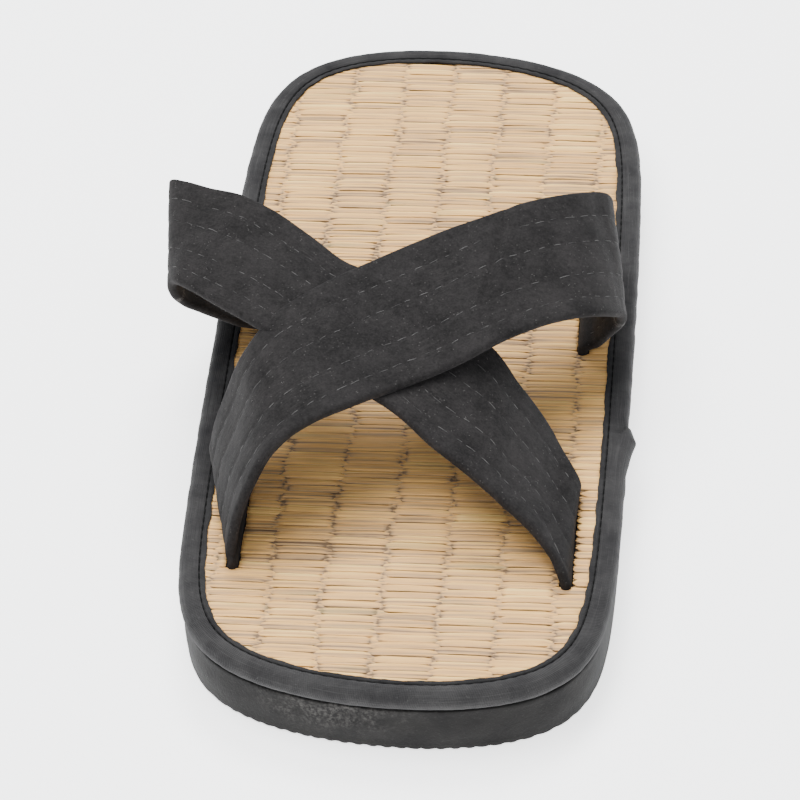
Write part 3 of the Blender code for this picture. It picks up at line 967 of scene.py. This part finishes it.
underStrap = {
    "name": "under_strap",
    "toeSide": 1,
    "foldShare": 0.79,
    "seed": 47,
    "rows": (
        (1.000, -0.028, 0.090, -3.0, 0.0, 0.88),
        (0.859, 0.074, 0.240, -1.2, 0.5, 0.99),
        (0.661, 0.151, 0.435, -2.4, 3.0, 1.05),
        (0.461, 0.223, 0.595, -4.8, 6.0, 1.09),
        (0.241, 0.278, 0.718, -5.0, 7.2, 1.05),
        (0.026, 0.352, 0.796, -3.5, 7.8, 1.01),
        (-0.214, 0.425, 0.855, -3.0, 6.4, 1.01),
        (-0.466, 0.498, 0.892, -1.5, 2.6, 1.00),
        (-0.697, 0.566, 0.962, -2.9, 2.5, 1.04),
        (-0.925, 0.638, 1.013, -3.3, 4.1, 1.05),
        (-1.166, 0.705, 1.039, -2.1, 4.3, 1.03),
        (-1.320, 0.750, 1.026, -0.6, 2.8, 1.00),
        (-1.463, 0.800, 0.988, 3.5, 3.1, 1.01),
        (-1.513, 0.830, 0.938, 5.5, 4.7, 1.01),
        (-1.522, 0.844, 0.889, 5.5, 6.5, 1.01),
        (-1.521, 0.857, 0.800, 6.2, 6.7, 1.01),
        (-1.472, 0.887, 0.638, 6.0, 4.0, 1.01),
        (-1.348, 0.927, 0.451, 4.6, 0.6, 1.00),
        (-1.166, 0.987, 0.222, 2.5, 0.2, 0.99),
    ),
    "creases": (
        (0.17, 0, 5, 24, 3.0, -0.35),
        (0.72, -6, -20, 20, 3.0, -0.35),
        (0.86, 4, 10, 22, 2.4, -0.45),
        (0.62, 8, 15, 18, 2.6, 0.25),
    ),
}


def strapRow(row):  # one section's middle in metres, its turns in degrees and its breadth
    across, along, up, swing, tilt, broad = row
    run = slits["instepAlong"] - slits["toeAlong"]
    return (
        across * slits["across"],
        slits["toeAlong"] + along * run,
        matHigh.z + up * strap["crown"],
        swing,
        tilt,
        broad * strap["width"],
    )


def smoothRows(rows):  # more rows between, on a curve that leaves and meets the mat upright
    rows = np.array(rows)
    ways = np.concatenate([[0.0], np.cumsum(np.linalg.norm(np.diff(rows[:, :3], axis=0), axis=1))])
    slopes = np.zeros_like(rows)
    for index in range(1, len(rows) - 1):
        before = ways[index] - ways[index - 1]
        after = ways[index + 1] - ways[index]
        rising = (rows[index] - rows[index - 1]) / before
        leaving = (rows[index + 1] - rows[index]) / after
        slopes[index] = (rising * after + leaving * before) / (before + after)
    slopes[0, 2] = 1.0
    slopes[-1, 2] = -1.0
    result = []
    for index in range(len(rows) - 1):
        span = ways[index + 1] - ways[index]
        for step in range(strap["stepsPerRow"]):
            share = step / strap["stepsPerRow"]
            square, cube = share ** 2, share ** 3
            place = rows[index] * (2 * cube - 3 * square + 1) + rows[index + 1] * (3 * square - 2 * cube)
            place = place + slopes[index] * (cube - 2 * square + share) * span
            result.append(place + slopes[index + 1] * (cube - square) * span)
    result.append(rows[-1])
    return result


def strapFrame(one):  # middles, rulings, outward ways, half breadths and runs along one strap
    legBreadth = slits["length"] - 2 * strap["legGap"]
    rise = matHigh.z + strap["legRise"]
    side = one["toeSide"]
    upright = (rise, 0.0, 0.0, legBreadth)
    foot = slitPlace(side, slits["toeAlong"]) + upright
    end = slitPlace(-side, slits["instepAlong"]) + upright
    path = smoothRows([foot, *map(strapRow, one["rows"]), end])
    legSteps = 5
    for step in range(legSteps):
        height = rise + (matLow.z - rise) * (step + 1) / legSteps
        path.insert(0, np.array([*foot[:2], height, *foot[3:]]))
        path.append(np.array([*end[:2], height, *end[3:]]))
    path = np.array(path)
    middle = path[:, :3]
    tangent = np.gradient(middle, axis=0)
    tangent[:legSteps + 1] = (0, 0, 1)
    tangent[-legSteps - 1:] = (0, 0, -1)
    tangent /= np.linalg.norm(tangent, axis=1)[:, None]
    swing, tilt = np.radians(path[:, 3]), np.radians(path[:, 4])
    ruling = np.stack([-np.sin(swing) * np.cos(tilt), np.cos(swing) * np.cos(tilt), np.sin(tilt)], 1)
    outward = np.cross(tangent, ruling)
    outward *= -side / np.linalg.norm(outward, axis=1)[:, None]
    runs = np.concatenate([[0.0], np.cumsum(np.linalg.norm(np.diff(middle, axis=0), axis=1))])
    return {"middle": middle, "ruling": ruling, "outward": outward, "half": path[:, 5] / 2, "runs": runs}


def strapRelief(one, run, reach, total):  # soft troughs and ridges that bend the whole strap
    relief = np.zeros(np.broadcast(run, reach).shape)
    for place, across, turn, length, width, depth in one["creases"]:
        offRun = run - place * total
        offReach = reach - across * mm
        cosine, sine = math.cos(math.radians(turn)), math.sin(math.radians(turn))
        over = (offRun * cosine - offReach * sine) / (width * mm)
        down = (offRun * sine + offReach * cosine) / (length * mm)
        relief = relief + depth * mm * np.exp(-over ** 2) * np.exp(-np.abs(down) ** 3)
    place = np.stack(np.broadcast_arrays(run, reach), -1)
    relief = relief + ripple(place, 24 * mm, one["seed"]) * 0.22 * mm
    return relief


def strapQuilt(one, run, reach):  # how far the cloth is drawn in along its stitched rows
    depth = np.zeros(np.broadcast(run, reach).shape)
    place = np.stack(np.broadcast_arrays(run, reach), -1)
    pucker = 0.75 + 0.25 * ripple(place, 5 * mm, one["seed"] + 1)
    for row in strap["quiltRows"]:
        depth = depth + np.exp(-np.abs((reach - row) / strap["quiltSpread"]) ** 1.5) * strap["quiltDepth"] * pucker
    return depth - ripple(place, 2.6 * mm, one["seed"] + 2) * 0.035 * mm


def makeStrap(one, material):
    path = strapFrame(one)
    radius = strap["edgeRadius"]
    thick = strap["thickness"] / 2
    total = path["runs"][-1]
    edgeSteps = 5
    faceShare = np.linspace(-1, 1, strap["faceSteps"])
    run = path["runs"][:, None]
    half = path["half"][:, None]
    calm = np.clip((path["middle"][:, 2] - matHigh.z - 1.5 * mm) / (4 * mm), 0, 1)[:, None]
    reaches, heights, girths = [], [], []
    for face in (1, -1):
        reach = faceShare[None, :] * face * (half - radius)
        height = face * (thick - strapQuilt(one, run, reach) * calm)
        reaches.append(reach)
        heights.append(height)
        girths.append(faceShare * (strap["width"] / 2 - radius) + (face < 0) * 0.05)
        for step in range(1, edgeSteps + 1):
            angle = math.pi / 2 - math.pi * step / (edgeSteps + 1)
            reaches.append(np.broadcast_to(face * (half - radius + radius * math.cos(angle)), half.shape))
            heights.append(np.full(half.shape, face * math.sin(angle) * thick))
            girths.append(np.array([0.02 + 0.0005 * step + (face < 0) * 0.05]))
    reach = np.concatenate(reaches, 1)
    height = np.concatenate(heights, 1)
    girth = np.concatenate(girths)
    relief = strapRelief(one, run, reach, total) * calm
    lift = height + relief
    body = (path["middle"][:, None, :] + path["ruling"][:, None, :] * reach[..., None]
            + path["outward"][:, None, :] * lift[..., None])
    rows, columns = body.shape[:2]
    faces = gridFaces(rows, columns, False, True)
    flat = gridFlat(path["runs"], np.append(girth, girth[0]), rows - 1, columns)
    caps = [np.arange(columns), np.arange(rows * columns - 1, (rows - 1) * columns - 1, -1)]
    # where the painted highlight along the bend lies
    fromFold = (run - one["foldShare"] * total) / strap["foldWidth"]
    fold = np.broadcast_to(np.exp(-fromFold ** 2), (rows, columns))
    addPiece(one["name"], body, [*faces, *caps], material, ("upper",), flat, {"fold": fold})
    return path


def onStrap(one, path, run, reach, above, face=1):  # a place on a strap's face
    place = [np.interp(run, path["runs"], path["middle"][:, axis]) for axis in range(3)]
    ruling = [np.interp(run, path["runs"], path["ruling"][:, axis]) for axis in range(3)]
    outward = [np.interp(run, path["runs"], path["outward"][:, axis]) for axis in range(3)]
    place, ruling, outward = (np.stack(part, -1) for part in (place, ruling, outward))
    total = path["runs"][-1]
    lift = face * (strap["thickness"] / 2 - strapQuilt(one, run, reach) + above)
    lift = lift + strapRelief(one, run, reach, total)
    return place + ruling * np.asarray(reach)[..., None] + outward * lift[..., None]


def makeStrapThread(paths):
    bundle = Bundle()
    dice = np.random.default_rng(5)
    for one, path in paths:
        total = path["runs"][-1]
        for face in (1, -1):
            for row in strap["quiltRows"]:
                count = int((total - 16 * mm) / strap["stitch"])
                drift = dice.uniform(0, 1) * strap["stitch"]
                for index in range(count):
                    if dice.uniform() < 0.06:
                        continue
                    start = 8 * mm + drift + index * strap["stitch"]
                    length = strap["stitch"] * strap["stitchShare"] * dice.uniform(0.55, 1.15)
                    run = np.linspace(start, start + length, 6)
                    slant = dice.uniform(-0.25, 0.45) * mm
                    reach = row + np.linspace(-0.5, 0.5, 6) * slant + dice.uniform(-0.12, 0.12) * mm
                    bow = 1 - np.linspace(-1, 1, 6) ** 2
                    above = bow * 0.16 * mm - 0.12 * mm + dice.uniform(-0.05, 0.03) * mm
                    bundle.add(tube(onStrap(one, path, run, reach, above, face), 0.13 * mm))
    dark, light = strap["thread"]
    bundle.finish("strap_stitches", threadMaterial("pale_thread", dark, light))


def makeLint(paths):
    bundle = Bundle()
    dice = np.random.default_rng(9)
    for one, path in paths:
        total = path["runs"][-1]
        for index in range(strap["lintCount"]):
            run = dice.uniform(10 * mm, total - 10 * mm)
            reach = dice.uniform(-18, 18) * mm
            turn = dice.uniform(0, math.pi)
            length = dice.uniform(0.25, 0.9) * mm
            share = np.linspace(-0.5, 0.5, 3)
            above = 0.02 * mm + 0.05 * mm * (1 - 4 * share ** 2)
            places = onStrap(one, path, run + share * length * math.cos(turn), reach + share * length * math.sin(turn), above)
            bundle.add(tube(places, dice.uniform(0.035, 0.07) * mm, 3))
    dark, light = strap["lint"]
    bundle.finish("strap_lint", threadMaterial("pale_lint", dark, light))


# the camera that took the photo, turned to this shoe and drawn closer
camera = {
    "place": (89.5 * mm, -869.1 * mm, 729.4 * mm),
    "yaw": 2.0,
    "pitch": 40.0,
    "focal": 3491.8,
    "middle": 400,
    "aimAt": (198, 398),
    "closer": 1.22,
    "sensor": 36.0,
    "image": 800,
}


def makeCamera():
    yaw, pitch = math.radians(camera["yaw"]), math.radians(camera["pitch"])
    ahead = Vector((-math.sin(yaw) * math.cos(pitch), math.cos(yaw) * math.cos(pitch), -math.sin(pitch)))
    right = Vector((math.cos(yaw), math.sin(yaw), 0.0))
    up = right.cross(ahead)
    level = Matrix((right, up, -ahead)).transposed().to_quaternion()
    offX = (camera["aimAt"][0] - camera["middle"]) / camera["focal"]
    offY = (camera["aimAt"][1] - camera["middle"]) / camera["focal"]
    aim = (ahead + right * offX - up * offY).normalized()
    data = bpy.data.cameras.new("photo_camera")
    data.sensor_width = camera["sensor"]
    data.lens = camera["sensor"] * camera["focal"] * camera["closer"] / camera["image"]
    item = bpy.data.objects.new("photo_camera", data)
    item.location = camera["place"]
    item.rotation_mode = "QUATERNION"
    item.rotation_quaternion = ahead.rotation_difference(aim) @ level
    bpy.context.scene.collection.objects.link(item)
    bpy.context.scene.camera = item


# soft studio light: a wide lamp overhead, one behind the heel and a weak one in front
lights = {
    "overhead": {"place": (-0.40, 0.00, 1.42), "size": 1.0, "power": 28},
    "rear": {"place": (0.00, 0.75, 1.20), "size": 0.6, "power": 20},
    "front": {"place": (0.15, -1.10, 0.80), "size": 1.2, "power": 8},
    "sky": 0.55,
    "skyColour": (0.86, 0.93, 1.0, 1.0),
    "floorGlow": 2.2,
    "aim": (0.0, 0.0, 0.02),
}


def makeLights():
    for name in ("overhead", "rear", "front"):
        entry = lights[name]
        data = bpy.data.lights.new(name + "_light", "AREA")
        data.shape = "DISK"
        data.size = entry["size"]
        data.energy = entry["power"]
        item = bpy.data.objects.new(name + "_light", data)
        item.location = entry["place"]
        way = Vector(lights["aim"]) - item.location
        item.rotation_euler = way.to_track_quat("-Z", "Y").to_euler()
        bpy.context.scene.collection.objects.link(item)
    world = bpy.data.worlds.new("studio")
    world.use_nodes = True
    background = world.node_tree.nodes["Background"].inputs
    background["Color"].default_value = lights["skyColour"]
    background["Strength"].default_value = lights["sky"]
    bpy.context.scene.world = world


def makeFloor():
    bpy.ops.mesh.primitive_plane_add(size=6.0)
    floor = bpy.context.object
    floor.name = "studio_floor"
    floor.data.materials.append(plainMaterial("pale_floor", tone(246, 246, 246), 0.8, lights["floorGlow"]))


makeCamera()
makeLights()
makeFloor()
makeSole()
makeBinding()
makeMat()
cloth = clothMaterial(strap["look"])
paths = [(one, makeStrap(one, cloth)) for one in (topStrap, underStrap)]
makeStrapThread(paths)
makeLint(paths)
